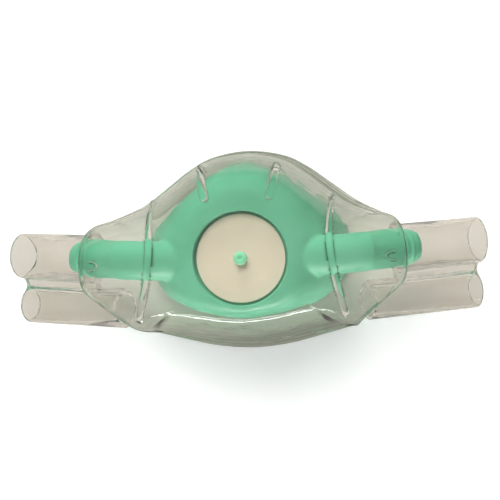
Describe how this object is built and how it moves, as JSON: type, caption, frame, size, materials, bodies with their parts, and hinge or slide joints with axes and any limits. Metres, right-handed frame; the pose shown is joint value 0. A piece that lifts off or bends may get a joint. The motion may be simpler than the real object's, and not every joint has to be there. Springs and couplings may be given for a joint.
{
  "type": "dental nasal hood",
  "caption": "Disposable scavenging nasal hood: clear outer shell over a soft inner nose cup, flap valve at the front and a clear twin hose stub under each wing.",
  "frame": {"origin": "on the rim plane, at the middle of the box round the whole mask", "axes": "+X towards one wing, +Y towards the bridge of the nose, +Z out of the front of the mask"},
  "size_m": [0.158, 0.0658, 0.0448],
  "materials": {
    "clear_pvc": "clear, glossy, slightly warm",
    "green_vinyl": "soft green vinyl, satin",
    "seat_plastic": "green, satin",
    "stud_vinyl": "pale green, satin",
    "pale_silicone": "creamy, translucent, satin",
    "clear_tube_pvc": "clear, warm grey, satin"
  },
  "bodies": {
    "hood": {"outer_hood": "clear_pvc", "inner_mask": "green_vinyl", "valve_seat": "seat_plastic", "valve_stud": "stud_vinyl"},
    "flap": {"valve_flap": "pale_silicone"},
    "tube_left": {"twin_tube_left": "clear_tube_pvc"},
    "tube_right": {"twin_tube_right": "clear_tube_pvc"}
  },
  "joints": [
    {"name": "flap_lift", "type": "slide", "parent": "hood", "child": "flap", "axis": [0, 0, 1], "range_m": [0, 0.001]},
    {"name": "tube_left_pull", "type": "slide", "parent": "hood", "child": "tube_left", "axis": [-0.8639, 0.0604, -0.5], "range_m": [0, 0.006]},
    {"name": "tube_right_pull", "type": "slide", "parent": "hood", "child": "tube_right", "axis": [0.8639, 0.0604, -0.5], "range_m": [0, 0.006]}
  ]
}
